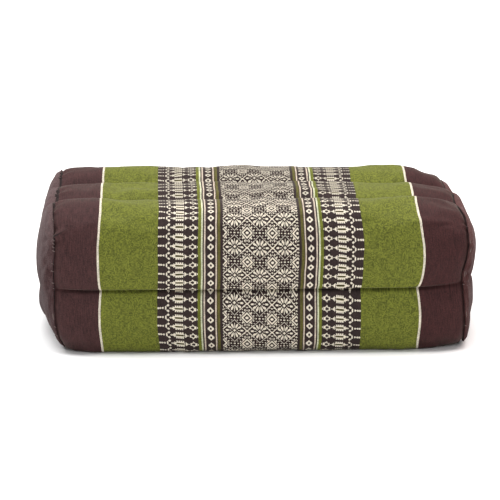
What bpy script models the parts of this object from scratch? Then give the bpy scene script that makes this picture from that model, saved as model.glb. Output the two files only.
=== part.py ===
"""Neck pillow: a firm kapok block of six stuffed channels, three deep and two high.

One patterned cloth wraps its four long sides, and a plain panel closes each end.
X runs along the pillow, -Y is the front, +Z is up, and the pillow lies on Z = 0.
"""
import math

import bmesh
import bpy
import numpy as np

# Driving dimensions, in metres.
LENGTH = 0.350
DEPTH = 0.180
HEIGHT = 0.1155
WALL_Y = 0.030  # the two upright inner walls stand this far from the middle
WALL_Z = 0.0505  # height of the flat inner wall, which shows as the front seam
PANEL_THICKNESS = 0.0018
GAP = 0.0005  # along X, which leaves about 0.3 mm square to the dome near its rim

# How deep the seams draw the cloth in from the fullest part of the channels.
SIDE_DIP = 0.0045
TOP_DIP = 0.0035
BOTTOM_DIP = 0.003
SIDE_GROOVE = 0.003  # the narrow fold right at the stitches
TOP_GROOVE = 0.005
GROOVE_REACH = 0.008  # how far that fold reaches to each side
GROOVE_STEPS = (0, 0.3, 0.65)

# A channel's cloth runs as a superellipse from seam to seam, pulled towards a control corner.
ROUNDNESS = 2.5
FRONT_REACH = 0.0145  # how far the control corner lies outside the front or the back
TOP_REACH = 0.013
SOLE_REACH = 0.016
TOP_LIFT = 0.0056  # control point of the middle channel above its seams
SOLE_SAG = 0.014  # and of the sole below its seams, before the floor flattens it

# Each end: where the end seam runs, how the channels round down to it, and how the panel bulges.
ENDS = {
    "left": dict(side=-1, seam=0.159, taper=0.022, drop=0.0030, draw_in=0.004, lift=0.0015,
                 seam_rise=0.0015, pull_top=0.002, pull_bottom=0.007, wall_dent=0.0016),
    "right": dict(side=1, seam=0.160, taper=0.048, drop=0.0075, draw_in=0.005, lift=0.0015,
                  seam_rise=0.0030, pull_top=0.007, pull_bottom=0.003, wall_dent=0.0030),
}
TAPER_TURN = math.radians(60)  # how far the cloth has turned inwards where it meets the end seam
CROWN = 0.010  # share of the height and the depth lost over the straight part, from the middle out
UPRIGHT_DENT = 0.0012  # marks of the upright walls in the end panels
DENT_WIDTH = 0.007
RIM_PASSES = 4  # how much the seams' folds fade out of the outline at the end seam
DOME_POWER = 0.65
FLAT_RISE = 0.3  # parts of the dome under this share of its height never reach furthest out
DOME_SCALE = 0.014  # about how far the domes stand out, to which the dents are measured

# Mesh density.
CURVE_POINTS = 400  # of the fine curve that a channel's own points are read from
CORNER_STEPS = 11
MIDDLE_STEPS = 6
STRAIGHT_SECTIONS = 12
TAPER_SECTIONS = 5
CAP_RINGS = ((0.94, 1), (0.84, 4), (0.68, 12), (0.48, 25), (0.25, 50))  # size, smoothing passes

COVER_COLOUR = (0.135, 0.120, 0.055)
PANEL_COLOUR = (0.105, 0.068, 0.068)
CLOTH_ROUGHNESS = 0.85


def seams():
    """The six seams of the wrap as (y, z) points, and how far each is drawn in."""
    side = DEPTH / 2 - SIDE_DIP
    top = HEIGHT - TOP_DIP
    return {
        "front": ((-side, WALL_Z), (SIDE_GROOVE, 0)),
        "top_front": ((-WALL_Y, top), (0, -TOP_GROOVE)),
        "top_back": ((WALL_Y, top), (0, -TOP_GROOVE)),
        "back": ((side, WALL_Z), (-SIDE_GROOVE, 0)),
        "sole_back": ((WALL_Y, BOTTOM_DIP), (0, TOP_GROOVE)),
        "sole_front": ((-WALL_Y, BOTTOM_DIP), (0, TOP_GROOVE)),
    }


def channels():
    """Each stretch of cloth from one seam to the next: its seams, control corner and steps."""
    out = DEPTH / 2 + FRONT_REACH
    up = HEIGHT + TOP_REACH
    crown = HEIGHT - TOP_DIP + TOP_LIFT
    sole = BOTTOM_DIP - SOLE_SAG
    return (
        ("front", "top_front", (-out, up), CORNER_STEPS),
        ("top_front", "top_back", (0, crown), MIDDLE_STEPS),
        ("top_back", "back", (out, up), CORNER_STEPS),
        ("back", "sole_back", (out, -SOLE_REACH), CORNER_STEPS),
        ("sole_back", "sole_front", (0, sole), MIDDLE_STEPS),
        ("sole_front", "front", (-out, -SOLE_REACH), CORNER_STEPS),
    )


def channel_curve(start, end, corner):
    """A finely stepped superellipse from start to end, drawn out towards the corner."""
    start, end, corner = (np.array(p, float) for p in (start, end, corner))
    origin = start + end - corner
    turn = np.linspace(0, math.pi / 2, CURVE_POINTS)[:, None]
    along_start = np.cos(turn) ** (2 / ROUNDNESS)
    along_end = np.sin(turn) ** (2 / ROUNDNESS)
    return origin + along_start * (start - origin) + along_end * (end - origin)


def section():
    """The pillow's cross-section at mid length: (y, z) points around the whole girth."""
    seam = seams()
    points = []
    for first, last, corner, steps in channels():
        (start, start_in), (end, end_in) = seam[first], seam[last]
        curve = channel_curve(start, end, corner)
        run = np.concatenate([[0], np.cumsum(np.linalg.norm(np.diff(curve, axis=0), axis=1))])
        near = GROOVE_REACH * np.array(GROOVE_STEPS)
        inner = np.linspace(GROOVE_REACH, run[-1] - GROOVE_REACH, steps)
        for distance in (*near, *inner, *(run[-1] - near[:0:-1])):
            point = np.array([np.interp(distance, run, curve[:, axis]) for axis in (0, 1)])
            for to_seam, inward in ((distance, start_in), (run[-1] - distance, end_in)):
                point += np.array(inward) * max(0.0, 1 - to_seam / GROOVE_REACH) ** 2
            points.append(point)
    return np.array(points)


def stations():
    """Where the sections stand along the pillow, as (x, end, turn) with turn from 0 to 1."""
    left, right = ENDS["left"], ENDS["right"]
    straight = np.linspace(left["taper"] - left["seam"], right["seam"] - right["taper"],
                           STRAIGHT_SECTIONS)
    rows = [(x, None, 0.0) for x in straight]
    for name, end in ENDS.items():
        turns = np.linspace(0, 1, TAPER_SECTIONS + 1)[1:]
        far = [(end["side"] * (end["seam"] - end["taper"]
                               + end["taper"] * math.sin(t * TAPER_TURN) / math.sin(TAPER_TURN)),
                name, t) for t in turns]
        rows = far[::-1] + rows if end["side"] < 0 else rows + far
    return rows


def evened(loop, passes):
    """A ring's points, smoothed along it so that the seams' folds fade out of it."""
    for _ in range(passes):
        loop = (np.roll(loop, 1, axis=0) + 2 * loop + np.roll(loop, -1, axis=0)) / 4
    return loop


def place_section(profile, x, end_name, turn):
    """The section's points in space at one station, rounded down where it nears an end."""
    flat = profile + (evened(profile, RIM_PASSES) - profile) * turn ** 2
    y, z = flat[:, 0], flat[:, 1]
    sag = 1 - CROWN * (x / (LENGTH / 2)) ** 2
    y *= sag
    z = np.where(z > WALL_Z, WALL_Z + (z - WALL_Z) * sag, z)
    along = np.full(len(y), x)
    if end_name:
        end = ENDS[end_name]
        ease = (1 - math.cos(turn * TAPER_TURN)) / (1 - math.cos(TAPER_TURN))
        above = np.clip((z - WALL_Z) / (HEIGHT - WALL_Z), 0, 1)
        below = np.clip((WALL_Z - z) / WALL_Z, 0, 1)
        z += ease * (end["seam_rise"] * (1 - above) - end["drop"] * above + end["lift"] * below)
        y *= 1 - ease * end["draw_in"] / (DEPTH / 2)
        pull = end["pull_top"] * above ** 2 + end["pull_bottom"] * below ** 2
        along -= end["side"] * pull * turn ** 2
    return np.column_stack([along, y, np.maximum(z, 0.0)])


def end_rings(rim, end):
    """Rings that dome out from the end seam to a middle point, dented where the walls pull."""
    middle = np.array([end["side"] * end["seam"], 0.0, WALL_Z])
    rings, rises = [], []
    for share, passes in (*CAP_RINGS, (0.0, 0)):
        ring = middle + evened(rim - middle, passes) * share
        dent = end["wall_dent"] * np.exp(-((ring[:, 2] - WALL_Z) / DENT_WIDTH) ** 2)
        for wall in (-WALL_Y, WALL_Y):
            dent += UPRIGHT_DENT * np.exp(-((ring[:, 1] - wall) / DENT_WIDTH) ** 2)
        rises.append((1 - share ** 2) ** DOME_POWER - dent * (1 - share ** 4) / DOME_SCALE)
        rings.append(ring)
    reach = LENGTH / 2 - PANEL_THICKNESS - GAP
    scale = min(np.min((reach - np.abs(ring[:, 0])) / np.maximum(rise, FLAT_RISE))
                for ring, rise in zip(rings, rises))
    for ring, rise in zip(rings, rises):
        ring[:, 0] += end["side"] * rise * scale
    return rings


def bridge(bm, first, second):
    """Quads between two rings of the same count."""
    count = len(first)
    for i in range(count):
        j = (i + 1) % count
        bm.faces.new((first[i], second[i], second[j], first[j]))


def dome(bm, rim, rings, shift=0.0):
    """The domed end surface on the ring of vertices rim, moved along X by shift."""
    last = rim
    for points in rings[:-1]:
        ring = [bm.verts.new((x + shift, y, z)) for x, y, z in points]
        bridge(bm, last, ring)
        last = ring
    x, y, z = rings[-1][0]
    tip = bm.verts.new((x + shift, y, z))
    for i, vertex in enumerate(last):
        bm.faces.new((vertex, tip, last[(i + 1) % len(last)]))


def cloth(name, colour):
    material = bpy.data.materials.new(name)
    material.use_nodes = True
    shader = material.node_tree.nodes["Principled BSDF"]
    shader.inputs["Base Color"].default_value = (*colour, 1)
    shader.inputs["Roughness"].default_value = CLOTH_ROUGHNESS
    shader.inputs["Metallic"].default_value = 0.0
    return material


def finish(bm, name, material):
    """Turns the bmesh into a smooth-shaded object with its faces pointing out."""
    bmesh.ops.recalc_face_normals(bm, faces=bm.faces)
    mesh = bpy.data.meshes.new(name)
    bm.to_mesh(mesh)
    bm.free()
    mesh.shade_smooth()
    mesh.materials.append(material)
    bpy.context.collection.objects.link(bpy.data.objects.new(name, mesh))


def pillow_body():
    """The wrap and its kapok as one filled solid, with its sewn channels and domed ends."""
    profile = section()
    sections = [place_section(profile, *row) for row in stations()]
    bm = bmesh.new()
    loops = [[bm.verts.new(point) for point in points] for points in sections]
    for first, second in zip(loops, loops[1:]):
        bridge(bm, first, second)
    dome(bm, loops[0], end_rings(sections[0], ENDS["left"]))
    dome(bm, loops[-1], end_rings(sections[-1], ENDS["right"]))
    finish(bm, "pillow_body", cloth("striped_wrap_cloth", COVER_COLOUR))
    return sections[0], sections[-1]


def end_panel(name, rim, end):
    """The plain cloth over one end: the body's dome once more, lying just clear of it."""
    bm = bmesh.new()
    rings = end_rings(rim, end)
    edges = []
    for lift in (GAP, GAP + PANEL_THICKNESS):
        shift = end["side"] * lift
        edges.append([bm.verts.new((x + shift, y, z)) for x, y, z in rim])
        dome(bm, edges[-1], rings, shift)
    bridge(bm, *edges)
    finish(bm, name, cloth(name + "_cloth", PANEL_COLOUR))


for old in list(bpy.data.objects):
    bpy.data.objects.remove(old)

left_rim, right_rim = pillow_body()
end_panel("end_panel_left", left_rim, ENDS["left"])
end_panel("end_panel_right", right_rim, ENDS["right"])
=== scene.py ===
import math

import bpy
import numpy as np
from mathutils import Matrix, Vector


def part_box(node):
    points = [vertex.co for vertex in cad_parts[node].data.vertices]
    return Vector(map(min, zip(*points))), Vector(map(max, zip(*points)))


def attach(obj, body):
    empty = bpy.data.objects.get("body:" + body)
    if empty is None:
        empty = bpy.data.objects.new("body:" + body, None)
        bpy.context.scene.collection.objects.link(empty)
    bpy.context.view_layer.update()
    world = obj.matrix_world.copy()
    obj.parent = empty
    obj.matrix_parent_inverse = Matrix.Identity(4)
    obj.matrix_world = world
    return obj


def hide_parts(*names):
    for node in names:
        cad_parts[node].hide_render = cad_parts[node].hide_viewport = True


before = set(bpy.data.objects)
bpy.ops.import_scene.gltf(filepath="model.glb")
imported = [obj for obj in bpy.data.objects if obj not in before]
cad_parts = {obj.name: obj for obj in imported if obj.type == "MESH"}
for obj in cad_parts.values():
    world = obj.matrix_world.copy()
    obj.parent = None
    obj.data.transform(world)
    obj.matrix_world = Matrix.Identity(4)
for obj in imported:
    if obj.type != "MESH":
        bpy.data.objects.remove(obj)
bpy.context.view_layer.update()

# The cover as it was sewn: one length of cloth round the four long sides, drawn in at six seams where inner
# walls are stitched to it, which makes channels three deep and two high, and a plain panel over each end. It
# is set out on a grid: columns go round the girth from the front seam up and over, and rows from end to end.
half_depth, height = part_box("pillow_body")[1][1:]  # its highest corner; the body is centred on the origin
wall_out = 0.030  # the two upright walls, from the middle
wall_up = 0.0505  # the flat wall, above the floor
side_dip = 0.0045  # how far the seams lie inside the fullest part of the channels
top_dip = 0.0035
sole_dip = 0.003
# The cloth sinks softly towards a seam, by a depth over a reach, then nips in at its stitches.
side_fold, top_fold = (0.0012, 0.0052), (0.0075, 0.018)
nip, nip_reach = 0.0026, 0.0013
roundness = 2.5
front_reach = 0.0145  # the control corners of the channels, outside the cover
top_reach = 0.0148
front_lift = 0.0014  # the front channel stands a little higher than the back one
sole_reach, front_sole_reach = 0.016, 0.0235
top_lift = 0.0042
sole_sag = 0.014
near_seam = (0, 0.0006, 0.0014, 0.0026, 0.0044, 0.0068)  # where columns lie beside a seam
upper_columns, lower_columns, middle_columns = 46, 33, 20
crease_columns = ((0, 0.19, 0.75, 1), (0, 0.27, 0.55, 1))  # the upper channels have more at their creases
column_evening = 12
corner_columns = 16  # from a corner of the end panel to the nearest seam of the top or the sole
near_rim = (0, 0.0007, 0.0014, 0.0021, 0.0030, 0.0046)  # where rows lie beside an end seam
rim_hollow_at, rim_hollow_width = 0.0016, 0.0011  # the wrap is pulled in beside that seam
front_to_top = (0.078, 0.095)  # where an end seam turns from the front to the top, from the front seam
rim_evening, rim_share = 14, 0.85  # how far the seams' folds have gone where the wrap meets the end panels

# Each end: where its seam is, how far in the channels start to round down to it (taper), how deep the wrap is
# pulled in beside it on the front and the top (hollow), and how far its top falls and its bottom and middle
# rise. The pulls draw the seam inwards, and the bulge is how far the panel domes out. Its pads are fuller and
# flatter spots, as (across, up, reach across, reach up, height), the first four as shares of the panel.
ends = {
    "left": dict(side=-1, seam=0.159, taper=0.030, hollow=(0.0022, 0.0006), drop=0.0012, back_drop=-0.0018,
                 lift=0.0025, seam_rise=0.0015, draw_in=0.004, pull_top=0.0005, pull_back=0.002,
                 pull_bottom=0.005, bulge=0.0163,
                 pads=((0.5, 0.09, 0.3, 0.15, 0.0092), (0.4, 0.28, 0.35, 0.08, -0.0030),
                       (0.05, 0.03, 0.16, 0.08, -0.0050), (0.5, 0.78, 0.3, 0.15, -0.0036))),
    "right": dict(side=1, seam=0.1600, taper=0.048, hollow=(0.0030, 0.0016), drop=0.0066, back_drop=0.0056,
                  lift=0.0013, seam_rise=0.0040, draw_in=0.005, pull_top=0.0015, pull_back=0.0065,
                  pull_bottom=-0.0012, bulge=0.0120,
                  pads=((0.4, 0.55, 0.3, 0.15, 0.0020), (0.4, 0.1, 0.3, 0.15, 0.0042),
                        (0.4, 0.375, 0.35, 0.04, -0.0085), (0.5, 0.85, 0.3, 0.12, -0.0025))),
}
# How far out of line each end seam was sewn, by its place round the girth from the front seam, both in
# millimetres.
rim_at = (-60, -43, -30, -15, -3, 9, 20, 35, 50, 66, 80, 95, 115, 143)
rim_out = {
    "left": (-1.1, 2.1, 2.5, 2.2, 1.5, 2.2, 2.0, 0.8, 1.2, 2.4, 3.2, 3.4, 3.0, 1.5),
    "right": (0.3, 0.6, 1.0, 0.4, -0.6, -0.9, 1.4, 4.0, 3.9, 2.8, 0.3, -1.2, 0.0, 0.0),
}
taper_turn = math.radians(60)
crown = 0.010  # how much thinner the pillow is at the end seams than at its middle, as a share
straight_rows, taper_rows = 66, 13

# How much further in than woven the stripe at the border's edge and the one at the green band's end lie, by
# their place round the girth, in millimetres too. The cloth is drawn in where it rounds over.
border_stripe, band_stripe = 0.079, 0.126
drawn_at = (-90, -62, -45, -30, -14, -4, 0, 6, 22, 37, 52, 67, 83, 108, 128, 142)
border_drawn = {
    "left": (0.5, 0.6, 0.4, -1.1, -1.1, -1.1, -0.9, -0.8, -0.6, -0.6, -0.2, 0.6, 0.6, 0.0, 0.1, 0.0),
    "right": (2.0, 2.0, 1.9, 1.4, 1.5, 1.5, 1.5, 0.5, -0.8, -0.6, 0.3, 2.4, 2.2, 1.8, 1.5, 1.4),
}
band_drawn = {
    "left": (3.5, 3.5, 2.8, 1.0, 0.9, 1.5, 1.8, 0.6, 0.0, 0.0, 1.3, 2.3, 2.1, 2.0, 2.4, 2.0),
    "right": (3.6, 3.6, 3.2, 2.1, 2.3, 3.5, 4.2, 0.8, -1.0, -0.3, 2.1, 3.8, 3.7, 2.9, 2.7, 2.7),
}
back_drawn = 1.6  # further in again at the back, for the band's end


def channel_line(start, end, corner, columns):
    """Points from one seam to the next on a superellipse, with how far round the channel each one is."""
    start, end, corner = np.array(start), np.array(end), np.array(corner)
    origin = start + end - corner
    turn = np.linspace(0, math.pi / 2, 600)[:, None]
    curve = (origin + np.cos(turn) ** (2 / roundness) * (start - origin)
             + np.sin(turn) ** (2 / roundness) * (end - origin))
    run = np.concatenate([[0], np.cumsum(np.linalg.norm(np.diff(curve, axis=0), axis=1))])
    edge = len(near_seam) - 1
    share = np.linspace(0, 1, columns + 1 - 2 * edge)
    if columns == upper_columns:
        front = start[1] < end[1]
        share = np.interp(share, *crease_columns) if front else 1 - np.interp(1 - share, *crease_columns)
        for _ in range(column_evening):
            share[1:-1] = (share[:-2] + 2 * share[1:-1] + share[2:]) / 4
    inner = near_seam[-1] + share * (run[-1] - 2 * near_seam[-1])
    at = np.concatenate([near_seam[:-1], inner, run[-1] - np.array(near_seam[-2::-1])])
    return np.column_stack([np.interp(at, run, curve[:, axis]) for axis in (0, 1)]), at, run[-1]


def girth():
    """The cross-section at mid length: (y, z) places, run of cloth and seams, column by column."""
    side, out = half_depth - side_dip, half_depth + front_reach
    top, up = height - top_dip, height + top_reach
    seams = [((-side, wall_up), (1, 0), side_fold), ((-wall_out, top), (0, -1), top_fold),
             ((wall_out, top), (0, -1), top_fold), ((side, wall_up), (-1, 0), side_fold),
             ((wall_out, sole_dip), (0, 1), side_fold), ((-wall_out, sole_dip), (0, 1), side_fold)]
    corners = [((-out, up + front_lift), upper_columns), ((0, top + top_lift), middle_columns),
               ((out, up), upper_columns), ((out, -sole_reach), lower_columns),
               ((0, sole_dip - sole_sag), middle_columns), ((-out, -front_sole_reach), lower_columns)]
    places, runs, sewn = [], [], []
    total = 0.0
    for number, (corner, columns) in enumerate(corners):
        start, start_in, start_fold = seams[number]
        end, end_in, end_fold = seams[(number + 1) % len(seams)]
        line, at, length = channel_line(start, end, corner, columns)
        for to_seam, inward, (hollow, reach) in ((at, start_in, start_fold), (length - at, end_in, end_fold)):
            depth = hollow * np.clip(1 - to_seam / reach, 0, 1) ** 2
            depth += nip * np.clip(1 - to_seam / nip_reach, 0, 1)
            line += np.outer(depth, inward)
        sewn.append(len(runs))
        places.extend(line[:-1])
        runs.extend(total + at[:-1])
        total += length
    return np.array(places), np.array(runs), sewn, total


profile, run, sewn_columns, girth_length = girth()
columns = len(profile)
back_seam = run[sewn_columns[3]]
from_front = np.where(run <= back_seam / 2, run, back_seam - run)
from_front = np.where(run > (girth_length + back_seam) / 2, run - girth_length, from_front)


def evened(loop, passes):
    """A ring's points, smoothed along it so that the seams' folds fade out of it."""
    for _ in range(passes):
        loop = (np.roll(loop, 1, axis=0) + 2 * loop + np.roll(loop, -1, axis=0)) / 4
    return loop


def outward(ring):
    """The direction out of each place of a ring round the girth, square to the pillow's length."""
    way = np.roll(ring, -2, axis=0) - np.roll(ring, 2, axis=0)
    way = np.column_stack([np.zeros(len(ring)), way[:, -1], -way[:, -2]])
    way *= np.sign(np.sum(way[:, 1:] * (ring[:, -2:] - ring[:, -2:].mean(axis=0)), axis=1).mean())
    return evened(way / np.linalg.norm(way, axis=1, keepdims=True), 3)


def row_places(x, end_name, turn):
    """One row's places round the girth, rounded down where it nears an end seam."""
    flat = profile + (evened(profile, rim_evening) - profile) * rim_share * turn ** 2
    sag = 1 - crown * (x / ends["right"]["seam"]) ** 2
    y = flat[:, 0] * sag
    behind = np.clip(y / half_depth, 0, 1)
    z = np.where(flat[:, 1] > wall_up, wall_up + (flat[:, 1] - wall_up) * sag, flat[:, 1])
    name = "left" if x < 0 else "right"
    end = ends[name]
    border = np.interp(from_front * 1000, drawn_at, border_drawn[name])
    band = np.interp(from_front * 1000, drawn_at, band_drawn[name]) + back_drawn * behind
    border, band = evened(border, 3), evened(band, 3)
    woven = (0, border_stripe, band_stripe, end["seam"])
    drawn = np.array([np.interp(abs(x), woven, (0, *pair, 0)) for pair in zip(border, band)])
    along = x - end["side"] * drawn / 1000
    if end_name:
        ease = (1 - math.cos(turn * taper_turn)) / (1 - math.cos(taper_turn))
        above = np.clip((z - wall_up) / (height - wall_up), 0, 1)
        below = np.clip((wall_up - z) / wall_up, 0, 1)
        drop = end["drop"] + end["back_drop"] * behind
        z = z + ease * (end["seam_rise"] * (1 - above) - drop * above + end["lift"] * below)
        y = y * (1 - ease * end["draw_in"] / half_depth)
        pull = (end["pull_top"] + end["pull_back"] * behind) * above ** 2 + end["pull_bottom"] * below ** 2
        pull = pull - np.interp(from_front * 1000, rim_at, rim_out[name]) / 1000 * (1 - y / half_depth) / 2
        along = along - end["side"] * pull * turn ** 2
        from_hollow = end["seam"] - abs(x) - rim_hollow_at
        hollow = np.interp(from_front, front_to_top, end["hollow"])
        hollow = hollow * math.exp(-(from_hollow / rim_hollow_width) ** 2)
        way = outward(np.column_stack([y, z]))
        y, z = y - hollow * way[:, 1], z - hollow * way[:, 2]
    return np.column_stack([along, y, np.maximum(z, 0.0)])


def rows():
    """Where the rows stand along the pillow, as (x, end, turn)."""
    left, right = ends["left"], ends["right"]
    straight = np.linspace(left["taper"] - left["seam"], right["seam"] - right["taper"], straight_rows)
    made = [(x, None, 0.0) for x in straight]
    for name, end in ends.items():
        inland_rows = np.linspace(near_rim[-1], end["taper"], taper_rows + 1)[:-1]
        from_rim = np.concatenate([near_rim[:-1], inland_rows])[::-1]
        turns = np.arcsin((1 - from_rim / end["taper"]) * math.sin(taper_turn)) / taper_turn
        far = [(end["side"] * (end["seam"] - inland), name, turn) for inland, turn in zip(from_rim, turns)]
        made = far[::-1] + made if end["side"] < 0 else made + far
    return made


grid = np.array([row_places(*row) for row in rows()])
row_x = np.array([row[0] for row in rows()])


patch_wide = 2 * corner_columns + middle_columns
patch_tall = upper_columns + lower_columns - 2 * corner_columns


def four_sides(ring):
    """The top, back, sole and front of a ring round an end, each from the front or from the floor."""
    ring = np.roll(ring, corner_columns - upper_columns, axis=0)
    ring = np.concatenate([ring, ring[:1]])
    corners = np.cumsum([0, patch_wide, patch_tall, patch_wide, patch_tall])
    top, back, sole, front = (ring[first:last + 1] for first, last in zip(corners, corners[1:]))
    return top, back[::-1], sole[::-1], front


def spanned(ring, across, up):
    """A grid of places inside a ring, between its four sides, by weights across and up it."""
    top, back, sole, front = four_sides(ring)
    (near, far), (low, high) = across, up
    return (low * sole[:, None] + high * top[:, None] + near * front[None] + far * back[None]
            - near * low * sole[0] - far * low * sole[-1] - near * high * top[0] - far * high * top[-1])


panel_evening = 60  # the seams' folds reach only a little way into the panel
fold_fade = 7
dome_square, dome_flat = 2.4, 0.55


def end_patch(ring, end):
    """A grid of cloth that fills the ring of an end seam and domes out from it: places by (across, up)."""
    plain = evened(ring, panel_evening)
    across = np.linspace(0, 1, patch_wide + 1)[:, None, None]
    up = np.linspace(0, 1, patch_tall + 1)[None, :, None]
    patch = (spanned(plain, (1 - across, across), (1 - up, up))
             + spanned(ring - plain, ((1 - across) ** fold_fade, across ** fold_fade),
                       ((1 - up) ** fold_fade, up ** fold_fade)))
    rise = (1 - np.abs(2 * across - 1) ** dome_square) * (1 - np.abs(2 * up - 1) ** dome_square)
    rise = rise[..., 0] ** dome_flat
    bulge = end["bulge"] * rise
    for place_across, place_up, reach_across, reach_up, high in end["pads"]:
        away = (((across - place_across) / reach_across) ** 2 + ((up - place_up) / reach_up) ** 2)[..., 0]
        bulge += high * np.exp(-away) * rise
    patch[..., 0] += end["side"] * bulge
    return patch


def patch_numbers(ring, start):
    """The vertex number of each place in an end patch, whose edge is the ring of an end seam."""
    numbers = np.empty((patch_wide + 1, patch_tall + 1), int)
    inner = numbers[1:-1, 1:-1]
    inner[:] = start + np.arange(inner.size).reshape(inner.shape)
    numbers[:, -1], numbers[-1], numbers[:, 0], numbers[0] = four_sides(ring)
    return numbers


wrap_numbers = np.arange(len(grid) * columns).reshape(len(grid), columns)
inner_count = (patch_wide - 1) * (patch_tall - 1)
patch_at = {
    "left": patch_numbers(wrap_numbers[0], wrap_numbers.size),
    "right": patch_numbers(wrap_numbers[-1], wrap_numbers.size + inner_count),
}
patches = [end_patch(grid[0], ends["left"]), end_patch(grid[-1], ends["right"])]
cover = np.vstack([grid.reshape(-1, 3), *(patch[1:-1, 1:-1].reshape(-1, 3) for patch in patches)])


def laid_flat(across, up):
    """A grid of places for an end patch laid flat, from one value to another each way."""
    lines = np.linspace(*across, patch_wide + 1), np.linspace(*up, patch_tall + 1)
    return np.stack(np.meshgrid(*lines, indexing="ij"), axis=-1)


def quads(numbers, closed=False, flip=False):
    """The faces between neighbouring rows and columns of a grid of vertex numbers."""
    if closed:
        numbers = np.column_stack([numbers, numbers[:, :1]])
    faces = np.stack([numbers[:-1, :-1], numbers[1:, :-1], numbers[1:, 1:], numbers[:-1, 1:]], axis=-1)
    faces = faces.reshape(-1, 4)
    return faces[:, ::-1] if flip else faces


wrap_faces = quads(wrap_numbers, closed=True, flip=True)
end_faces = {"left": quads(patch_at["left"], flip=True), "right": quads(patch_at["right"])}
cover_faces = np.vstack([wrap_faces, *end_faces.values()])


def new_piece(name, places, faces):
    """A mesh object from places and faces, shaded smooth."""
    mesh = bpy.data.meshes.new(name)
    mesh.from_pydata([tuple(place) for place in places], [], [tuple(face) for face in faces])
    mesh.shade_smooth()
    piece = bpy.data.objects.new(name, mesh)
    bpy.context.collection.objects.link(piece)
    return piece


def values_of(items, attribute, wide, kind=float):
    """An attribute of a mesh's items as an array, with as many numbers to an item as it is wide."""
    values = np.empty(len(items) * wide, kind)
    items.foreach_get(attribute, values)
    return values.reshape(-1, wide) if wide > 1 else values


# The filling: the cover is blown up from within as cloth cut a little too large for its channels and held at
# its seams. Only the puckers are kept, and they fade out beside each seam, where the cloth is drawn straight,
# so the channels keep their sewn form.
filling_frames = 20
filling_pressure = 4
spare_cloth = 0.035
pucker_limit, pucker_share, pucker_fade = 0.0011, 0.8, 0.009
end_puckers = 0.5  # the end panels keep this much of theirs
broad_passes = 30


def blown_up():
    """The cover's places after cloth simulation, held at the six seams and at both ends of the wrap."""
    sewn = new_piece("sewn_cover", cover, cover_faces)
    held = sewn.vertex_groups.new(name="held")
    pinned = [wrap_numbers[:, sewn_columns].ravel(), wrap_numbers[0], wrap_numbers[-1]]
    pinned = np.unique(np.concatenate(pinned))
    held.add([int(number) for number in pinned], 1.0, "REPLACE")
    cloth = sewn.modifiers.new("filling", "CLOTH")
    settings = cloth.settings
    settings.quality = 6
    settings.mass = 0.3
    settings.tension_stiffness = settings.compression_stiffness = 30
    settings.shear_stiffness = 10
    settings.bending_stiffness = 0.15
    settings.shrink_min = settings.shrink_max = -spare_cloth
    settings.use_pressure = True
    settings.uniform_pressure_force = filling_pressure
    settings.vertex_group_mass = "held"
    settings.effector_weights.gravity = 0
    cloth.collision_settings.use_collision = False
    cloth.point_cache.frame_start = 1
    cloth.point_cache.frame_end = filling_frames
    for number in range(1, filling_frames + 1):
        bpy.context.scene.frame_set(number)
    filled = sewn.evaluated_get(bpy.context.evaluated_depsgraph_get()).data
    places = values_of(filled.vertices, "co", 3)
    bpy.context.scene.frame_set(1)
    bpy.data.objects.remove(sewn)
    return places


def averaged(values, passes):
    """Values at the cover's places, mixed with their neighbours' until only the broad trend is left."""
    pairs = np.vstack([cover_faces[:, [0, 1]], cover_faces[:, [1, 2]]])
    for _ in range(passes):
        total, count = values.copy(), np.ones(len(values))
        for one, other in ((0, 1), (1, 0)):
            for axis in range(3):
                total[:, axis] += np.bincount(pairs[:, one], values[pairs[:, other], axis], len(values))
            count += np.bincount(pairs[:, one], minlength=len(values))
        values = total / count[:, None]
    return values


swelling = blown_up() - cover
kept = pucker_share * (swelling - averaged(swelling, broad_passes))
girths = kept[:wrap_numbers.size].reshape(len(grid), -1)
girths -= girths.mean(axis=0)
kept[wrap_numbers.size:] *= end_puckers
size = np.linalg.norm(kept, axis=1, keepdims=True)
kept *= pucker_limit / np.maximum(size, pucker_limit)
seams_at = np.append(run[sewn_columns], girth_length)
to_seam = np.abs(run[:, None] - seams_at).min(axis=1)
to_rim = np.minimum(row_x - row_x[0], row_x[-1] - row_x)
fade = np.minimum(to_seam[None, :], to_rim[:, None]).ravel() / pucker_fade
kept[:wrap_numbers.size] *= np.clip(fade, 0, 1)[:, None]
cover = cover + kept
cover[:, 2] = np.maximum(cover[:, 2], 0.0)

# The wrap: striped and brocaded cotton, packed hard with kapok. Each seam is a tight nip, the cloth is
# creased where it is gathered at the left end, and its two short edges are sewn to the end panels.
lining_gap = 0.0018  # the kapok's own end lies this far under the end panel
kapok_ends = cover.copy()
for name, end in ends.items():
    kapok_ends[patch_at[name][1:-1, 1:-1], 0] -= end["side"] * lining_gap
wrap = new_piece("wrap", kapok_ends, cover_faces)

threads = wrap.data.uv_layers.new(name="threads")
baked = wrap.data.uv_layers.new(name="OFBake")
# Where on the cloth each place round the girth is, in millimetres, from the front seam upwards, and how much
# the weft climbs there towards the right.
girth_at = (-165, -43.8, -32.4, -22.3, -11.1, -3, 0, 13.3, 36.4, 58.2, 67.9, 78.6, 95, 120.8, 129.9, 147,
            181.8, 189.7, 198.4, 286, 390)
cloth_at = (-160, -42, -31, -20, -9, -2.2, 0, 13.6, 35.4, 57, 68, 79, 90, 112, 123, 138,
            167, 178, 189, 274, 376)
cloth_shift = 0.0007  # the middle of the cloth lies a little to the right
lean_at = (-60, -4, 4, 60, 100)
lean = (0.080, 0.070, 0.030, 0.015, -0.010)
kapok_place = (0.155, 0.0)  # the kapok's ends are given one plain brown place on the cloth
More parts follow.
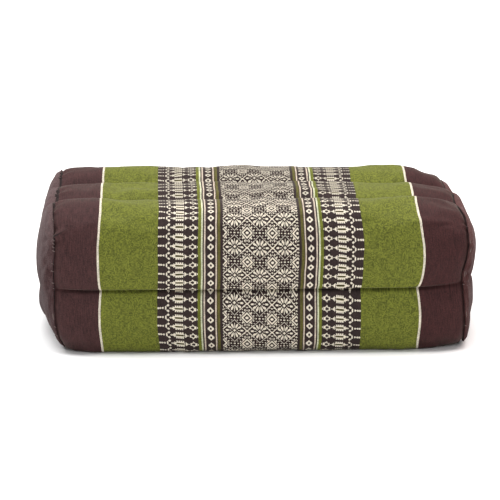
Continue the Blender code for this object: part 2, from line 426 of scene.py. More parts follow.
# The bake's layout, in shares of the map: the unrolled wrap on the left and the kapok's ends on the right.
bake_margin, wrap_share, girth_share = 0.01, 0.84, 0.98
kapok_across, kapok_up, kapok_step = (0.87, 0.99), (0.02, 0.48), 0.5


def set_places():
    """Gives the wrap its places on the cloth as one UV map, in metres, and its bake as another."""
    corner = values_of(wrap.data.loops, "vertex_index", 1, int)
    face_corners = corner.reshape(-1, 4)
    on_wrap = np.arange(len(face_corners)) < len(wrap_faces)
    row, column = np.divmod(np.minimum(face_corners, wrap_numbers.size - 1), columns)
    across_join = np.max(column, axis=1) - np.min(column, axis=1) > 1
    column = np.where((column == 0) & across_join[:, None], columns, column)
    place_run = np.append(run, girth_length)[column]
    past_sole = np.median(place_run, axis=1) > run[sewn_columns[4]]
    signed = (place_run - girth_length * past_sole[:, None]).ravel() * 1000
    x = row_x[row].ravel()
    along = np.interp(signed, girth_at, cloth_at) / 1000 + np.interp(signed, lean_at, lean) * x
    uv = np.column_stack([x - cloth_shift, along])
    uv[np.repeat(~on_wrap, 4)] = kapok_place
    threads.data.foreach_set("uv", uv.ravel())
    span = row_x[-1] - row_x[0]
    layout = np.column_stack([bake_margin + wrap_share * (x - row_x[0]) / span,
                              bake_margin + girth_share * place_run.ravel() / girth_length])
    start = 4 * len(wrap_faces)
    for number, name in enumerate(ends):
        at = np.empty((len(cover), 2))
        at[patch_at[name]] = laid_flat(kapok_across, kapok_up) + (0, kapok_step * number)
        stop = start + 4 * len(end_faces[name])
        layout[start:stop] = at[corner[start:stop]]
        start = stop
    baked.data.foreach_set("uv", layout.ravel())


def sharpened(piece, lines, sharpness):
    """Creases a piece's edges along lines of vertex numbers, so that subdivision keeps them tight."""
    wanted = {tuple(sorted(pair)) for line in lines for pair in zip(line[:-1].tolist(), line[1:].tolist())}
    pairs = np.sort(values_of(piece.data.edges, "vertices", 2, int), axis=1)
    creases = np.array([sharpness * (tuple(pair) in wanted) for pair in pairs.tolist()])
    piece.data.attributes.new("crease_edge", "FLOAT", "EDGE").data.foreach_set("value", creases)


def apply_all(piece):
    """Applies every modifier of a piece."""
    bpy.ops.object.select_all(action="DESELECT")
    bpy.context.view_layer.objects.active = piece
    piece.select_set(True)
    for modifier in list(piece.modifiers):
        bpy.ops.object.modifier_apply(modifier=modifier.name)


def subdivided(piece):
    """Subdivides a piece once and applies it."""
    smoothing = piece.modifiers.new("smoothing", "SUBSURF")
    smoothing.levels = smoothing.render_levels = 1
    apply_all(piece)


def off_stroke(at, start, end):
    """How far along a stroke some places lie, as a share of it, and how far off it."""
    start, way = np.array(start), np.array(end) - np.array(start)
    share = ((at - start) @ way) / max(way @ way, 1e-6)
    return share, np.linalg.norm(at - start - np.clip(share, 0, 1)[..., None] * way, axis=-1)


ridge_height, ridge_at = 0.25, 2.4  # the ridge beside a fold, in its depths and its widths
fold_taper = 0.8


def creased(piece, layer, folds):
    """Presses soft folds into a piece: (start, end, width, depth) in millimetres on its cloth.

    A fold is a trough with a low ridge on each side. It is deepest at its start and fades out at its end."""
    mesh = piece.data
    places, normals = (values_of(mesh.vertices, attribute, 3) for attribute in ("co", "normal"))
    at = np.empty((len(mesh.vertices), 2))
    corner = values_of(mesh.loops, "vertex_index", 1, int)
    at[corner] = values_of(mesh.uv_layers[layer].data, "uv", 2) * 1000
    press = np.zeros(len(at))
    for start, end, width, depth in folds:
        share, off = off_stroke(at, start, end)
        away = off / width
        fade = np.clip(1 - share, 0, 1) ** fold_taper
        press += depth * fade * (np.exp(-away ** 2) - ridge_height * np.exp(-(away - ridge_at) ** 2))
    places -= normals * press[:, None] / 1000
    places[:, 2] = np.maximum(places[:, 2], 0.0)
    mesh.vertices.foreach_set("co", places.ravel())
    mesh.update()


deep_fold = ((-161.5, 38.5), (-149, 47.5), 2.0, 3.2)
wrap_folds = (
    deep_fold, ((-159, 33), (-150, 31), 2.2, 0.7), ((-159, 12), (-151, 14), 2.0, 0.5),
    ((-161, 66), (-150, 72), 1.8, 1.2), ((-161, 82), (-149, 90), 1.8, 1.5),
    ((-161, 121), (-146, 128), 1.6, 1.8), ((-161, 131), (-149, 141), 1.8, 1.6),
    ((-161, 176), (-146, 183), 1.6, 1.8), ((-161, 187), (-149, 196), 1.8, 1.6),
    ((-159, -22), (-150, -25), 2.2, 0.6),
    ((163, 54), (154, 57.0), 1.4, 2.8), ((163, 59), (155, 61), 3.2, -1.0), ((160, 60), (153, 65), 2.0, 0.8),
    ((160, 34), (153, 33), 2.0, 0.5), ((160, 90), (148, 96), 3.0, 0.6), ((160, 128), (150, 134), 2.4, 0.8),
    ((160, -20), (151, -24), 2.4, 0.5),
)
set_places()
sharpened(wrap, [wrap_numbers[:, column] for column in sewn_columns], 0.9)
subdivided(wrap)
creased(wrap, "threads", wrap_folds)


def new_material(name):
    """A new material, with its node tree and its shader."""
    material = bpy.data.materials.new(name)
    material.use_nodes = True
    return material, material.node_tree, material.node_tree.nodes["Principled BSDF"]


def fed(tree, sockets, terms):
    """Feeds sockets with numbers, colours or the outputs of other nodes."""
    for socket, term in zip(sockets, terms):
        if isinstance(term, (int, float)):
            socket.default_value = term
        elif isinstance(term, tuple):
            socket.default_value = (*term, 1)
        else:
            tree.links.new(term, socket)


def calc(tree, operation, *terms, clamp=False):
    """A Math node on numbers or sockets."""
    node = tree.nodes.new("ShaderNodeMath")
    node.operation = operation
    node.use_clamp = clamp
    fed(tree, node.inputs, terms)
    return node.outputs[0]


def between(tree, value, low, high):
    """1 where value lies from low to high, and 0 elsewhere."""
    above = calc(tree, "GREATER_THAN", value, low)
    return calc(tree, "MULTIPLY", above, calc(tree, "LESS_THAN", value, high))


def dyed(tree, share, first, second, blend="MIX"):
    """One colour over another by a share from 0 to 1."""
    node = tree.nodes.new("ShaderNodeMix")
    node.data_type = "RGBA"
    node.blend_type = blend
    fed(tree, (node.inputs[0], node.inputs[6], node.inputs[7]), (share, first, second))
    return node.outputs[2]


def stops(tree, value, table):
    """The colour at value of a striped ramp, made from a table of (place, colour)."""
    node = tree.nodes.new("ShaderNodeValToRGB")
    ramp = node.color_ramp
    ramp.interpolation = "CONSTANT"
    while len(ramp.elements) > 1:
        ramp.elements.remove(ramp.elements[-1])
    for number, (place, colour) in enumerate(table):
        stop = ramp.elements[0] if number == 0 else ramp.elements.new(place)
        stop.position = place
        stop.color = (*colour, 1)
    tree.links.new(value, node.inputs[0])
    return node.outputs[0]


def ramped(tree, value, start, over):
    """0 up to a start, rising to 1 over a stretch after it."""
    return calc(tree, "DIVIDE", calc(tree, "SUBTRACT", value, start), over, clamp=True)


def counted(tree, value, start, pitch):
    """How many threads a place lies from a start, as a whole number."""
    return calc(tree, "ROUND", calc(tree, "DIVIDE", calc(tree, "SUBTRACT", value, start), pitch))


def cloth_places(tree, layer):
    """How far across and how far along its cloth a point lies, in millimetres, from a UV map."""
    place = tree.nodes.new("ShaderNodeUVMap")
    place.uv_map = layer
    split = tree.nodes.new("ShaderNodeSeparateXYZ")
    tree.links.new(place.outputs[0], split.inputs[0])
    return [calc(tree, "MULTIPLY", split.outputs[axis], 1000.0) for axis in (0, 1)]


def grain(tree, across, along, wide, long, detail=2.0):
    """Noise from 0 to 1 whose patches are about wide by long, in millimetres."""
    place = tree.nodes.new("ShaderNodeCombineXYZ")
    fed(tree, place.inputs, (calc(tree, "DIVIDE", across, wide), calc(tree, "DIVIDE", along, long)))
    noise = tree.nodes.new("ShaderNodeTexNoise")
    noise.inputs["Scale"].default_value = 1.0
    noise.inputs["Detail"].default_value = detail
    tree.links.new(place.outputs[0], noise.inputs["Vector"])
    return noise.outputs["Fac"]


def crossings(tree, across, along, wide, long):
    """A value from 0 to 1 for each crossing of two threads, wide by long in millimetres."""
    place = tree.nodes.new("ShaderNodeCombineXYZ")
    fed(tree, place.inputs, (counted(tree, across, 0.0, wide), counted(tree, along, 0.0, long)))
    value = tree.nodes.new("ShaderNodeTexWhiteNoise")
    value.noise_dimensions = "2D"
    tree.links.new(place.outputs[0], value.inputs["Vector"])
    return value.outputs["Value"]


def toned(tree, colour, parts):
    """A colour made lighter and darker by noises: parts is a list of (noise, strength)."""
    tone = 1.0
    for noise, strength in parts:
        tone = calc(tree, "MULTIPLY_ADD", calc(tree, "SUBTRACT", noise, 0.5), strength, tone)
    scale = tree.nodes.new("ShaderNodeVectorMath")
    scale.operation = "SCALE"
    fed(tree, (scale.inputs[0], scale.inputs["Scale"]), (colour, tone))
    return scale.outputs[0]


def raised(tree, shader, height, distance):
    """Bumps a shader by a height from 0 to 1 over a distance in metres."""
    bump = tree.nodes.new("ShaderNodeBump")
    bump.inputs["Strength"].default_value = 1.0
    bump.inputs["Distance"].default_value = distance
    tree.links.new(height, bump.inputs["Height"])
    tree.links.new(bump.outputs[0], shader.inputs["Normal"])


chart_bits = 21  # thread columns that one channel of a chart's stop holds


def motif(strokes, columns, lines, thread, pick):
    """The weaver's chart of a motif: which threads its strokes cover, line by line from the middle out.

    A stroke is (start, end, width) in millimetres, and a dot is a stroke of no length."""
    at = np.stack(np.meshgrid(np.arange(columns) * thread, np.arange(lines) * pick), axis=-1)
    chart = np.zeros((lines, columns), bool)
    for start, end, width in strokes:
        chart |= off_stroke(at, start, end)[1] <= width / 2
    return chart


def charted(tree, chart, column, row):
    """1 where the chart shows a figure thread.

    Each line is one stop of a ramp, and its threads are the digits of a binary fraction in each channel."""
    half_digit = 2.0 ** -(chart_bits + 1)  # keeps each fraction clear of its neighbour
    table = []
    for number, line in enumerate(chart):
        shares = [sum(2.0 ** -(bit + 1) for bit in np.flatnonzero(line[at:at + chart_bits])) + half_digit
                  for at in range(0, 3 * chart_bits, chart_bits)]
        table.append((number / len(chart), tuple(shares)))
    held = stops(tree, calc(tree, "DIVIDE", calc(tree, "ADD", row, 0.5), len(chart)), table)
    split = tree.nodes.new("ShaderNodeSeparateColor")
    tree.links.new(held, split.inputs[0])
    share = split.outputs[0]
    for channel in range(1, math.ceil(chart.shape[1] / chart_bits)):
        chosen = calc(tree, "GREATER_THAN", column, channel * chart_bits - 0.5)
        step = calc(tree, "SUBTRACT", split.outputs[channel], share)
        share = calc(tree, "MULTIPLY_ADD", chosen, step, share)
    bit = calc(tree, "MODULO", column, chart_bits)
    digits = calc(tree, "MULTIPLY", share, calc(tree, "POWER", 2.0, calc(tree, "ADD", bit, 1.0)))
    return calc(tree, "MODULO", calc(tree, "FLOOR", digits), 2.0)


# The figures, drawn as strokes in millimetres. Of the middle's repeat, one quarter: a twelve-petalled flower
# in a thin lozenge, and from its corner a row of specks and two lozenges round a dot.
flower_strokes = (
    ((0, 0), (0, 0), 2.0), ((3.1, 0), (3.7, 0), 0.6), ((5.0, 0), (6.3, 0), 1.2),
    ((2.0, 1.3), (3.2, 2.2), 0.8), ((3.5, 2.4), (4.5, 3.1), 1.7), ((0.9, 2.0), (1.5, 3.4), 0.8),
    ((1.6, 3.8), (2.0, 4.8), 1.5), ((0, 2.4), (0, 6.4), 0.6), ((9.4, 0), (0, 9.4), 0.48),
    ((9.7, 11), (9.7, 11), 2.3), ((6.2, 11), (9.7, 7.2), 1.1), ((4.2, 11), (9.7, 4.8), 0.46),
    ((2.6, 11), (2.6, 11), 1.2), ((4.5, 9.0), (4.5, 9.0), 1.2), ((6.4, 6.9), (6.4, 6.9), 1.2),
    ((8.1, 4.9), (8.1, 4.9), 1.2), ((9.7, 2.9), (9.7, 2.9), 1.2), ((0.2, 11), (0.2, 11), 0.8),
    ((2.2, 8.9), (2.2, 8.9), 0.7), ((4.2, 6.8), (4.2, 6.8), 0.7), ((6.2, 4.7), (6.2, 4.7), 0.7),
    ((8.0, 2.6), (8.0, 2.6), 0.7), ((9.7, 0.2), (9.7, 0.2), 0.8),
)
# The upper half of one border figure, from the green band inwards, and a quarter of one small ring.
border_strokes = (
    ((0, 0), (4.9, 0), 0.8), ((0.8, 0), (1.0, 0), 1.3), ((2.5, 0), (2.7, 0), 1.3), ((4.2, 0), (4.4, 0), 1.3),
    ((6.8, 0), (6.8, 0.9), 1.3), ((8.2, 1.9), (8.5, 2.3), 1.5),
    ((10.2, 0), (10.2, 0), 1.2), ((11.3, 0), (12.6, 0), 1.0), ((12.5, 0), (12.5, 1.0), 1.1),
    ((13.9, 1.1), (19.2, 1.1), 0.9), ((14.2, 1.6), (14.2, 2.3), 0.9), ((15.8, 1.6), (15.8, 2.3), 0.9),
    ((17.3, 1.6), (17.3, 2.3), 0.9), ((18.9, 1.6), (18.9, 2.3), 0.9), ((13.2, 0.4), (13.2, 0.8), 0.8),
    ((19.9, 0.4), (19.9, 0.8), 0.8), ((20.9, 0), (20.9, 1.0), 1.1),
    ((20.9, 0), (22.0, 0), 1.0), ((23.2, 0), (23.2, 0), 1.0), ((24.9, 0), (24.9, 0.6), 1.3),
    ((25.5, 0.9), (26.2, 1.3), 0.8), ((26.9, 1.7), (26.9, 1.8), 1.4), ((28.3, 0.9), (27.6, 1.3), 0.8),
    ((28.9, 0), (28.9, 0.6), 1.3), ((30.6, 0), (30.6, 0), 1.1),
)
ring_strokes = (((1.95, 0), (0, 1.95), 1.3),)

repeat_along, repeat_across = 22.0, 19.4  # of the flowers; three border figures go to each
pick_pitch = repeat_along / 45
flower_columns, flower_lines = 20, 22.5  # half a repeat each way, in threads
flower_pitch, figure_pitch = repeat_across / 40, 0.535
border_columns, ring_columns, figure_lines = 58, 6, 7.5
flower_at, figure_at = 13.0, 5.7  # one flower and one border figure, above the front seam
flower_middle, flower_edge = -0.9, 29.2  # the middle flower's place and where the flowers end
border_edge, ring_middle = 79.2, 38.5
box_from, box_to, box_half, box_line = 13.7, 19.6, 0.8, 0.3

cream = (0.80, 0.73, 0.595)
# The cream weft with painted shade, for the top.
shaded_cream = (0.40, 0.37, 0.30)
brown = (0.043, 0.0172, 0.0175)
dark = (0.025, 0.0155, 0.015)
green = (0.109, 0.124, 0.0162)
olive = (0.083, 0.075, 0.018)
rose = (0.46, 0.39, 0.32)
pale_green = (0.46, 0.48, 0.34)
ivory = (0.56, 0.52, 0.43)
redder = (0.88, 0.69, 0.69)  # the brown of the right end, by its share of the left one's
shade = (0.008, 0.005, 0.005)  # painted shade, for the deepest folds and the grooves beside the end seams, which are narrower than the mesh
sun_bleach = (1.0, 0.86, 0.72)
inner_from, inner_to = 28.0, 50.0
inner_stripes = ((28.0, dark), (31.1, olive), (33.3, dark), (33.8, rose), (34.8, dark), (42.6, rose),
                 (43.7, dark), (44.7, pale_green), (45.9, green), (48.3, dark))
band_end, line_end = 125.0, 126.6  # the green band, then an ivory line, then brown to the end
outer_stripes = ((border_edge, green), (band_end, ivory), (line_end, brown))

# How wide and how long the unevenness of the threads is, in millimetres.
streak_size, slub_size, mottle_size = (0.7, 9.0), (8.0, 0.8), (7.0, 10.0)
fleck_size, speck_size = (0.9, 0.8), (0.85, 0.75)
top_from, cream_shade_from, top_stretch = 74.0, 76.0, 12.0  # where the top starts, where painted shade starts on the cream weft, and the stretch over which both come in
seam_shade_wide, seam_shade_more, seam_shade_uneven = 0.8, 1.4, 1.2  # of the strip of painted shade beside each end seam, with more on the top
fold_half, fold_narrows = 2.1, 0.15  # half the deepest fold's width, and how fast it narrows


def woven_figures(tree, across, along):
    """Where the cream weft lies on top, and where a border figure's box shows olive: two values of 0 or 1."""
    out = calc(tree, "ABSOLUTE", across)
    thread = counted(tree, across, flower_middle, flower_pitch)
    pick = counted(tree, along, flower_at, pick_pitch)
    chart = motif(flower_strokes, flower_columns + 1, math.ceil(flower_lines), flower_pitch, pick_pitch)
    flowers = charted(tree, chart, calc(tree, "PINGPONG", thread, flower_columns),
                      calc(tree, "PINGPONG", pick, flower_lines))
    flowers = calc(tree, "MULTIPLY", flowers, calc(tree, "LESS_THAN", out, flower_edge))

    row = calc(tree, "PINGPONG", counted(tree, along, figure_at, pick_pitch), figure_lines)
    inward = calc(tree, "SUBTRACT", border_edge, out)
    chart = motif(border_strokes, border_columns, math.ceil(figure_lines), figure_pitch, pick_pitch)
    border = charted(tree, chart, counted(tree, inward, 0.0, figure_pitch), row)
    border = calc(tree, "MULTIPLY", border, between(tree, inward, 0.0, (border_columns - 0.5) * figure_pitch))
    boxed = calc(tree, "MULTIPLY", between(tree, inward, box_from, box_to),
                 between(tree, row, box_line / pick_pitch, box_half / pick_pitch))

    column = calc(tree, "ABSOLUTE", counted(tree, out, ring_middle, figure_pitch))
    chart = motif(ring_strokes, ring_columns, math.ceil(figure_lines), figure_pitch, pick_pitch)
    rings = calc(tree, "MULTIPLY", charted(tree, chart, column, row),
                 calc(tree, "LESS_THAN", column, ring_columns - 0.5))
    return calc(tree, "MAXIMUM", calc(tree, "MAXIMUM", flowers, border), rings), boxed


def painted_seam_shade(tree, across, along, slub):
    """1 in an uneven strip beside each end seam, where shade is painted into the seam's groove, and 0
    elsewhere.
    """
    turned = 0.0
    more = calc(tree, "MULTIPLY_ADD", ramped(tree, along, top_from, top_stretch), seam_shade_more, seam_shade_wide)
    for end in ends.values():
        seam_at = (end["seam"] - end["side"] * cloth_shift) * 1000
        past = calc(tree, "SUBTRACT", calc(tree, "MULTIPLY", across, end["side"]), seam_at)
        past = calc(tree, "ADD", calc(tree, "MULTIPLY_ADD", slub, seam_shade_uneven, past), more)
        turned = calc(tree, "MAXIMUM", turned, calc(tree, "GREATER_THAN", past, 0.0))
    return turned


def in_deep_fold(tree, across, along):
    """From 1 at the start of the wrap's deepest fold to 0 beside it and past its end: the share of painted
    shade there.
    """
    (from_across, from_along), (to_across, to_along) = deep_fold[:2]
    past = calc(tree, "SUBTRACT", across, from_across)
    slope = (to_along - from_along) / (to_across - from_across)
    line = calc(tree, "MULTIPLY_ADD", past, slope, from_along)
    off = calc(tree, "ABSOLUTE", calc(tree, "SUBTRACT", along, line))
    return calc(tree, "SUBTRACT", calc(tree, "MULTIPLY_ADD", past, -fold_narrows, fold_half), off, clamp=True)


def wrap_cloth():
    """Striped cotton with a supplementary cream weft, from the thread places of the wrap."""
    material, tree, shader = new_material("striped_brocade")
    across, along = cloth_places(tree, "threads")
    out = calc(tree, "ABSOLUTE", across)
    sizes = (streak_size, slub_size, mottle_size)
    streak, slub, mottle = (grain(tree, across, along, *size) for size in sizes)
    fleck = grain(tree, across, along, *fleck_size, 3.0)
    speck = crossings(tree, across, along, *speck_size)

    wide = inner_to - inner_from
    inner = calc(tree, "DIVIDE", calc(tree, "SUBTRACT", out, inner_from), wide)
    ground = stops(tree, inner, [((at - inner_from) / wide, dye) for at, dye in inner_stripes])
    for at, dye in outer_stripes:
        ground = dyed(tree, calc(tree, "GREATER_THAN", out, at), ground, dye)
    figures, boxed = woven_figures(tree, across, along)
    ground = dyed(tree, boxed, ground, olive)
    ground = dyed(tree, calc(tree, "GREATER_THAN", across, line_end), ground, redder, "MULTIPLY")
    plain = toned(tree, ground, ((streak, 1.4), (speck, 0.35), (fleck, 1.2), (mottle, 0.45)))
    speckled = toned(tree, ground, ((streak, 0.4), (slub, 0.3), (speck, 0.9), (mottle, 0.30)))
    ground = dyed(tree, between(tree, out, border_edge, band_end), plain, speckled)
    # Painted shade in an uneven strip beside each end seam, for the shadow in its groove.
    ground = dyed(tree, calc(tree, "MULTIPLY", painted_seam_shade(tree, across, along, slub), 0.85), ground, shade)
    # Painted shade along the wrap's deepest fold.
    ground = dyed(tree, calc(tree, "MULTIPLY", in_deep_fold(tree, across, along), 0.9), ground, shade)
    ground = dyed(tree, calc(tree, "MULTIPLY", mottle, 0.22), ground, sun_bleach, "MULTIPLY")

    # Painted shade: the cream weft is darker on the top.
    cream_shading = calc(tree, "MULTIPLY", ramped(tree, along, cream_shade_from, top_stretch), 0.45)
    weft = dyed(tree, calc(tree, "MULTIPLY_ADD", fleck, 0.6, cream_shading), cream, shaded_cream)
    colour = dyed(tree, figures, ground, toned(tree, weft, ((fleck, 1.0), (mottle, 0.3))))
    tree.links.new(colour, shader.inputs["Base Color"])
    relief = calc(tree, "MULTIPLY_ADD", figures, 0.6, calc(tree, "MULTIPLY_ADD", fleck, 0.5, streak))
    raised(tree, shader, relief, 0.0003)
    shader.inputs["Roughness"].default_value = 0.8
    shader.inputs["Specular IOR Level"].default_value = 0.2
    shader.inputs["Sheen Weight"].default_value = 0.14
    shader.inputs["Sheen Roughness"].default_value = 0.35
    shader.inputs["Sheen Tint"].default_value = (1.0, 0.95, 0.78, 1)
    return material


wrap.data.materials.append(wrap_cloth())
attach(wrap, "root")
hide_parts("pillow_body")

# The end panels: plain brown cotton, one over each end, pulled tight over the kapok. The turned-in edge of
# each makes a low roll that lies on the edge of the wrap.
panel_thickness = 0.0012
roll_rise, roll_width = 0.0007, 0.0011
roll_waves = ((41, 0.35, 0.0), (67, 0.3, 1.3), (23, 0.35, 0.4))  # its unevenness: (count, share, shift)
roll_tuck = 0.0002  # how far its edge presses into the wrap
roll_flat = ((0.078, 0.100), (1.0, 0.2))  # the roll lies flatter on the top
inland_row = 5
panel_size = (0.186, 0.118)
ring_numbers = {"left": wrap_numbers[0], "right": wrap_numbers[-1]}


def rolled_edge(name):
    """Two rings of places that the panel's edge turns through: over the seam, then down on the wrap."""
    side = ends[name]["side"]
    ring = cover[ring_numbers[name]]
    out = outward(ring)
    inland = cover[wrap_numbers[inland_row if side < 0 else -1 - inland_row]] - ring
    inland /= np.linalg.norm(inland, axis=1, keepdims=True)
    turn = run / girth_length * 2 * math.pi
    uneven = sum(share * np.sin(count * turn + shift) for count, share, shift in roll_waves)
    rise = roll_rise * np.interp(from_front, *roll_flat)
    crest = ring + out * (rise * (1 + 0.8 * uneven))[:, None]
    edge = ring + inland * (roll_width * (1 + 0.35 * uneven))[:, None] - out * roll_tuck
    return crest, edge


panel_brown = (0.037, 0.0168, 0.0172)
# The lighter brown painted on the panel's top, as painted light.
panel_painted_light = (0.092, 0.060, 0.060)
painted_light_from, painted_light_over = 58.0, 45.0  # where painted light starts and over how far it comes in, in millimetres up the panel
panel_tint = {"left": (1.0, 1.0, 1.0), "right": (1.05, 0.80, 0.76)}  # the right one is redder


def panel_cloth(name):
    """Plain brown cotton with painted light towards the top, broken up by random patches."""
    material, tree, shader = new_material("plain_brown_cotton_" + name)
    across, along = cloth_places(tree, "cloth")
    streak = grain(tree, across, along, 0.8, 9.0)
    fleck = grain(tree, across, along, 0.9, 0.9, 3.0)
    mottle = grain(tree, across, along, 9.0, 14.0)
    # Painted light: lighter towards the top, broken up by random patches.
    light_share = calc(tree, "MULTIPLY_ADD", ramped(tree, along, painted_light_from, painted_light_over), 0.75, -0.65)
    light_share = calc(tree, "MULTIPLY_ADD", mottle, 1.8, light_share, clamp=True)
    colour = dyed(tree, light_share, panel_brown, panel_painted_light)
    colour = toned(tree, colour, ((streak, 1.2), (fleck, 2.0)))
    colour = dyed(tree, 1.0, colour, panel_tint[name], "MULTIPLY")
    tree.links.new(colour, shader.inputs["Base Color"])
    raised(tree, shader, calc(tree, "MULTIPLY_ADD", fleck, 0.5, streak), 0.00035)
    shader.inputs["Roughness"].default_value = 0.9
    shader.inputs["Specular IOR Level"].default_value = 0.05
    shader.inputs["Sheen Weight"].default_value = 0.06
    shader.inputs["Sheen Roughness"].default_value = 0.4
    return material


panel_folds = {
    "left": (((5, 68), (18, 56), 2.6, 1.2), ((5, 78), (18, 68), 2.2, 1.1), ((5, 88), (18, 82), 2.4, 1.2),
             ((5, 99), (20, 94), 2.6, 1.1), ((4, 52), (22, 52), 3.0, 0.5), ((5, 44), (18, 40), 2.6, 0.8),
             ((2, 36), (14, 33), 2.5, 0.6), ((2, 64), (12, 66), 2.5, 0.6), ((30, 112), (38, 96), 4.0, 0.9),
             ((2, 20), (16, 26), 3.0, 0.7)),
    "right": (((2, 74), (12, 66), 2.6, 1.3), ((2, 84), (14, 80), 3.0, 0.9), ((2, 54), (20, 56), 3.0, 1.6),
              ((2, 40), (12, 38), 2.5, 0.6), ((30, 112), (36, 96), 4.0, 0.9), ((2, 18), (14, 24), 3.0, 0.6)),
}
for name in ends:
    used, numbers = np.unique(patch_at[name], return_inverse=True)
    numbers = numbers.reshape(patch_at[name].shape)
    rim = np.searchsorted(used, ring_numbers[name])
    crest, edge = rolled_edge(name)
    rings = np.array([rim, len(used) + np.arange(columns), len(used) + columns + np.arange(columns)])
    faces = np.vstack([quads(numbers, flip=name == "left"), quads(rings, closed=True, flip=name == "right")])
    panel = new_piece("end_cloth_" + name, np.vstack([cover[used], crest, edge]), faces)
    at = np.empty((len(panel.data.vertices), 2))
    at[numbers] = laid_flat((0, panel_size[0]), (0, panel_size[1]))
    middle = np.array(panel_size) / 2
    for step, ring in ((1.02, rings[1]), (1.04, rings[2])):
        at[ring] = middle + (at[rim] - middle) * step
    cloth_layer = panel.data.uv_layers.new(name="cloth")
    corner = values_of(panel.data.loops, "vertex_index", 1, int)
    cloth_layer.data.foreach_set("uv", at[corner].ravel())
    subdivided(panel)
    creased(panel, "cloth", panel_folds[name])
    shell = panel.modifiers.new("shell", "SOLIDIFY")
    shell.thickness = panel_thickness
    shell.offset = -1
    apply_all(panel)
    panel.data.materials.append(panel_cloth(name))
    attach(panel, "root")
    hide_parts("end_panel_" + name)

# The end stitches: brown thread, whipped by hand over the roll of each end seam, slanting and uneven, and
# pulled tight into the cloth.
stitch_pitch = 0.0027
stitches_shown = {  # how many show, by their height on the front: (height in millimetres, share)
    "left": ((0, 0.1), (28, 0.2), (33, 0.6), (42, 0.6), (46, 0.15), (50, 0.6), (60, 0.6), (66, 0.2),
             (74, 0.75), (92, 0.75), (97, 0.15), (120, 0.1)),
    "right": ((0, 0.01), (120, 0.02)),
}
stitch_half, stitch_thick = 0.0013, 0.00040
stitch_stray = 0.2  # of its pitch, to each side
stitch_slants, stitch_sizes, stitch_lifts = (0.35, 0.75), (0.8, 1.1), (0.0002, 0.0006)


def round_seam(ring, reach, at):
    """The places at some distances round a ring, whose own places lie at its reaches."""
    closed = np.vstack([ring, ring[:1]])
    return np.column_stack([np.interp(at, reach, closed[:, axis]) for axis in range(3)])


bpy.ops.object.select_all(action="DESELECT")
bpy.ops.mesh.primitive_uv_sphere_add(segments=8, ring_count=6, radius=1.0)
one_stitch = bpy.context.object
one_stitch.scale = (stitch_thick, stitch_thick, stitch_half)
bpy.ops.object.transform_apply(scale=True)
stitch_places = np.array([vertex.co[:] for vertex in one_stitch.data.vertices])
stitch_faces = [tuple(face.vertices) for face in one_stitch.data.polygons]
bpy.data.objects.remove(one_stitch)
sewing_thread, _, shader = new_material("brown_thread")
shader.inputs["Base Color"].default_value = (0.12, 0.085, 0.080, 1)
shader.inputs["Roughness"].default_value = 0.7
shader.inputs["Specular IOR Level"].default_value = 0.25
chance = np.random.default_rng(7)

for name in ends:
    ring = cover[ring_numbers[name]]
    out = outward(ring)
    crest, edge = rolled_edge(name)
    reach = np.append(0, np.cumsum(np.linalg.norm(np.roll(ring, -1, axis=0) - ring, axis=1)))
    count = round(reach[-1] / stitch_pitch)
    at = (np.arange(count) + chance.uniform(-stitch_stray, stitch_stray, count)) * reach[-1] / count
    share = np.interp(round_seam(ring, reach, at)[:, 2] * 1000, *zip(*stitches_shown[name]))
    at = at[chance.uniform(0, 1, count) < share]
    places, faces = [], []
    rings = ((crest + edge) / 2, crest - edge, out)
    middles, ways, normals = (round_seam(values, reach, at) for values in rings)
    forwards = np.cross(ways, normals)
    for middle, way, normal, forward in zip(middles, ways, normals, forwards):
        forward /= np.linalg.norm(forward)
        way = way / np.linalg.norm(way) + forward * chance.uniform(*stitch_slants)
        way /= np.linalg.norm(way)
        side = np.cross(way, normal)
        side /= np.linalg.norm(side)
        lift = np.cross(side, way)
        lift *= np.sign(lift @ normal)
        turned = stitch_places @ np.array([side, lift, way])
        first = len(places) * len(stitch_places)
        faces.extend(tuple(number + first for number in face) for face in stitch_faces)
        size = chance.uniform(*stitch_sizes)
        places.append(turned * size + middle + normal * chance.uniform(*stitch_lifts))
    stitches = new_piece("end_stitches_" + name, np.vstack(places), faces)
    stitches.data.materials.append(sewing_thread)
    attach(stitches, "root")

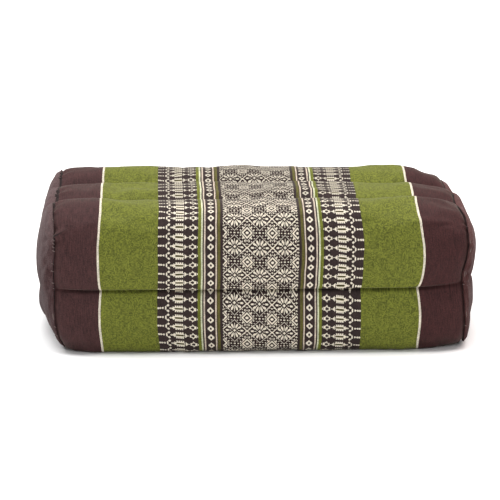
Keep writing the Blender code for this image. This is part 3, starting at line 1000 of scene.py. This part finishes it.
# The plain white surface that the pillow lies on, with soft light from above and from both sides.
bpy.ops.object.select_all(action="DESELECT")
bpy.ops.mesh.primitive_plane_add(size=12)
floor = bpy.context.object
floor.name = "floor"
paper, _, shader = new_material("white_paper")
shader.inputs["Base Color"].default_value = (0.94, 0.94, 0.94, 1)
shader.inputs["Roughness"].default_value = 1.0
floor.data.materials.append(paper)

world = bpy.data.worlds.new("studio")
bpy.context.scene.world = world
world.use_nodes = True
background = world.node_tree.nodes["Background"]
background.inputs["Color"].default_value = (1, 1, 1, 1)
background.inputs["Strength"].default_value = 0.45


def softbox(name, place, target, size, power, tint=(1, 1, 1)):
    """A square area light that faces the target."""
    lamp = bpy.data.lights.new(name, "AREA")
    lamp.size = size
    lamp.energy = power
    lamp.color = tint
    box = bpy.data.objects.new(name, lamp)
    bpy.context.collection.objects.link(box)
    box.location = place
    box.rotation_euler = (Vector(place) - Vector(target)).to_track_quat("Z", "Y").to_euler()


sky = bpy.data.lights.new("overhead", "SUN")
sky.energy = 2.7
sky.angle = math.radians(40)
overhead = bpy.data.objects.new("overhead", sky)
bpy.context.collection.objects.link(overhead)
overhead.rotation_euler = (math.radians(-2), 0, 0)
softbox("left", (-1.5, 0.45, 2.1), (0, 0, 0.05), 1.2, 34)
softbox("right", (1.5, 0.45, 2.1), (0, 0, 0.05), 1.2, 27, (1.0, 0.84, 0.78))
softbox("front", (0.0, -2.1, 1.35), (0, 0, 0.05), 0.8, 10)

camera_target = np.array([-0.0078, -0.090, 0.0842])
camera_distance = 2.2725
camera_pitch, camera_yaw = math.radians(14.52), math.radians(1.85)
look = np.array([math.sin(camera_yaw) * math.cos(camera_pitch), math.cos(camera_yaw) * math.cos(camera_pitch),
                 -math.sin(camera_pitch)])
camera = bpy.data.objects.new("camera", bpy.data.cameras.new("camera"))
bpy.context.collection.objects.link(camera)
camera.data.lens = 212.2
camera.data.sensor_width = 36
camera.location = camera_target - camera_distance * look
camera.rotation_euler = (math.pi / 2 - camera_pitch, 0, -camera_yaw)
bpy.context.scene.camera = camera
bpy.context.scene.view_settings.view_transform = "Standard"
